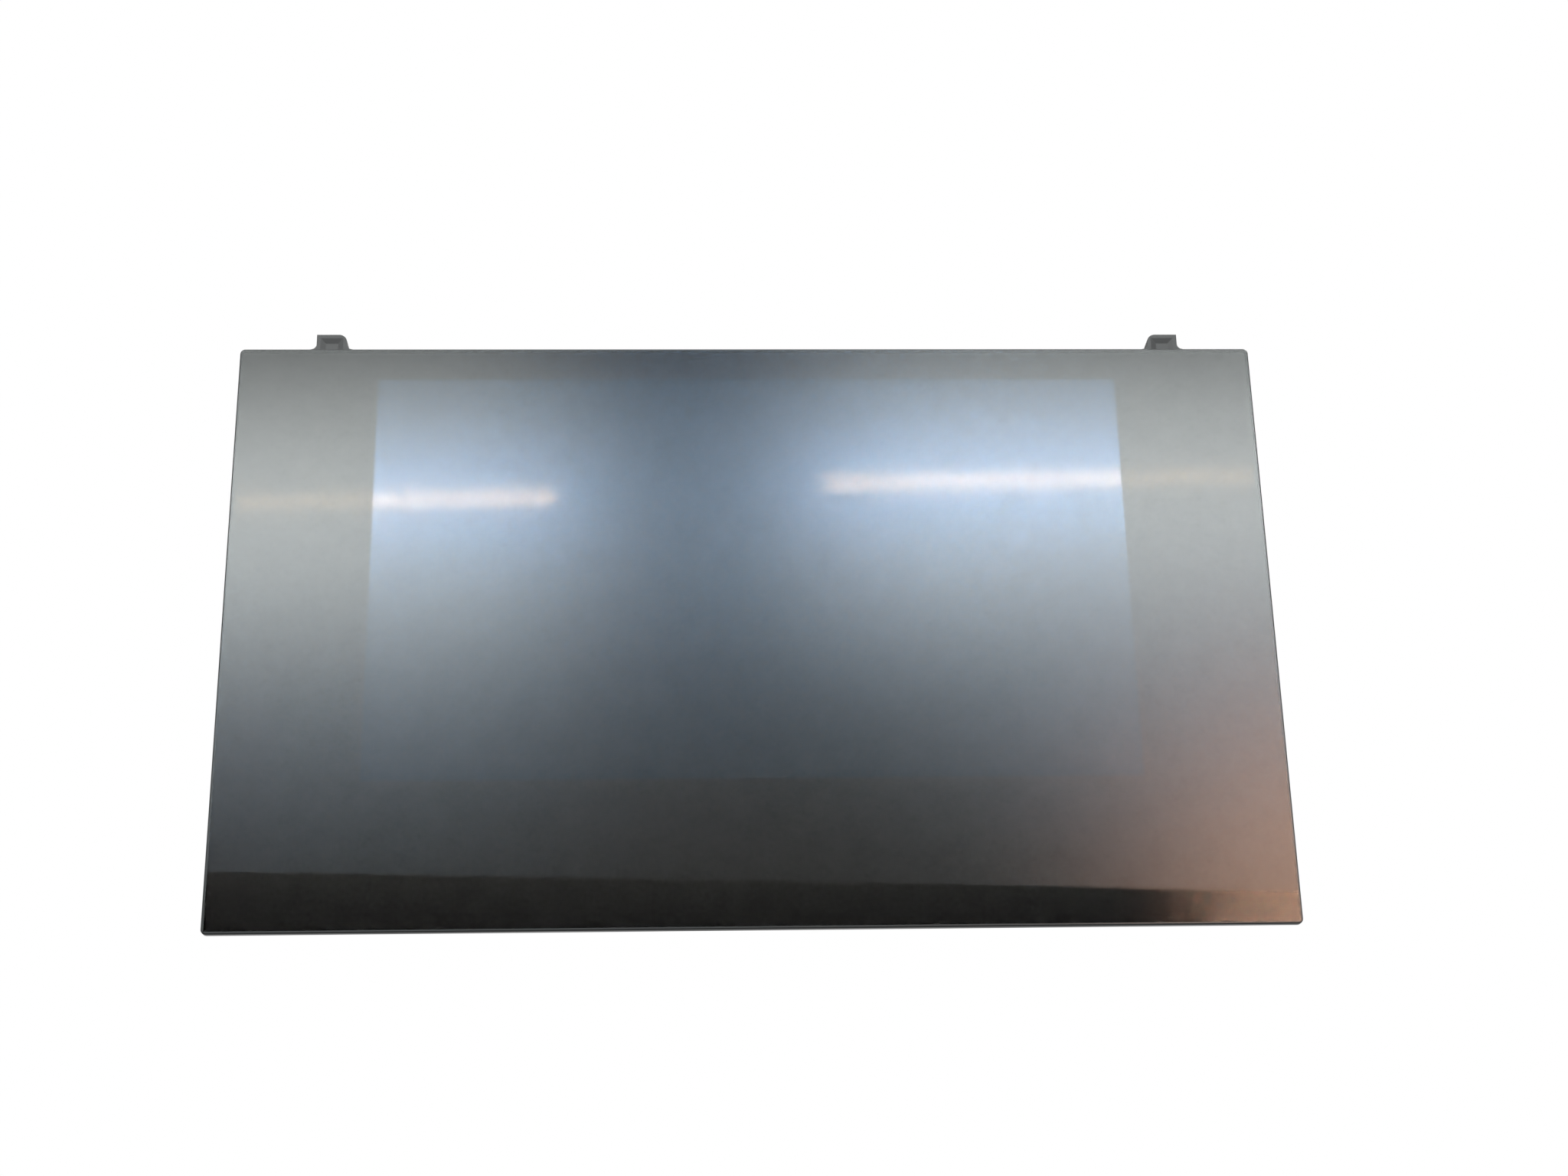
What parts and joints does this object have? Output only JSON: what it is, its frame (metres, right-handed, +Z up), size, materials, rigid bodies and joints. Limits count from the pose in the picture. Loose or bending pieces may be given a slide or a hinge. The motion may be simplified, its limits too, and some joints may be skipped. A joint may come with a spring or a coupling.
{
  "type": "car infotainment display",
  "caption": "Dashboard display module: flat black cover glass with two top hooks, touch sensor and LCD panel, board and cast rear housing.",
  "frame": {"origin": "centre of the four tapped bosses on the back, in the plane of their faces", "axes": "+X to the right across the glass as the driver sees it, -Y out of the glass towards the driver, +Z up the glass"},
  "size_m": [0.244, 0.037, 0.1484],
  "materials": {
    "cover_glass": "etched, anti-glare",
    "black_print": "satin ink",
    "optical_adhesive": "clear",
    "sensor_film": "clear",
    "black_tape": "matte foam",
    "carrier_plastic": "fine moulded grain",
    "polarizer": "satin",
    "cell_glass": "polished",
    "silicon": "polished",
    "bezel_steel": "rolled sheet",
    "white_plastic": "smooth",
    "prism_film": "satin",
    "diffuser_film": "matte",
    "light_guide": "polished",
    "reflector_film": "satin",
    "lamp_board": "solder mask",
    "lamp_body": "phosphor",
    "tray_aluminium": "rolled sheet",
    "foam": "open cell foam",
    "amber_film": "satin film",
    "plated_steel": "zinc plated sheet",
    "standoff_steel": "zinc plated",
    "board_green": "solder mask",
    "screw_zinc": "zinc plated",
    "chip_black": "moulded epoxy",
    "thermal_pad": "soft, matte",
    "can_steel": "tin plated sheet",
    "ferrite": "sintered",
    "capacitor_can": "satin",
    "ceramic": "sintered",
    "socket_brown": "moulded",
    "socket_black": "moulded",
    "socket_blue": "moulded",
    "contact_gold": "gold flash",
    "contact_tin": "plated",
    "cast_aluminium": "as cast, shot blasted",
    "screw_black": "black zinc"
  },
  "bodies": {
    "root": {"cover_glass": "cover_glass", "border_print": "black_print", "sensor_adhesive": "optical_adhesive", "touch_sensor": "sensor_film", "panel_adhesive": "optical_adhesive", "glass_tape": "black_tape", "carrier_frame": "carrier_plastic", "front_polarizer": "polarizer", "filter_glass": "cell_glass", "array_glass": "cell_glass", "rear_polarizer": "polarizer", "driver_chips": "silicon", "panel_bezel": "bezel_steel", "panel_frame": "white_plastic", "upper_prism_film": "prism_film", "lower_prism_film": "prism_film", "diffuser_film": "diffuser_film", "light_guide": "light_guide", "reflector_film": "reflector_film", "lamp_strip": "lamp_board", "backlight_lamps": "lamp_body", "backlight_tray": "tray_aluminium", "panel_cushions": "foam", "panel_flex": "amber_film", "touch_flex": "amber_film", "backlight_flex": "amber_film", "chassis_plate": "plated_steel", "board_standoffs": "standoff_steel", "main_board": "board_green", "board_screws": "screw_zinc", "processor": "chip_black", "thermal_pad": "thermal_pad", "memory_chips": "chip_black", "flash_chip": "chip_black", "shield_can": "can_steel", "video_receiver": "chip_black", "touch_controller": "chip_black", "power_inductors": "ferrite", "capacitors": "capacitor_can", "crystal": "can_steel", "chip_parts": "ceramic", "panel_socket": "socket_brown", "touch_socket": "socket_brown", "backlight_socket": "socket_brown", "power_socket": "socket_black", "power_contacts": "contact_gold", "video_socket": "socket_blue", "video_contacts": "contact_tin", "rear_housing": "cast_aluminium", "housing_screws": "screw_black"}
  },
  "joints": []
}
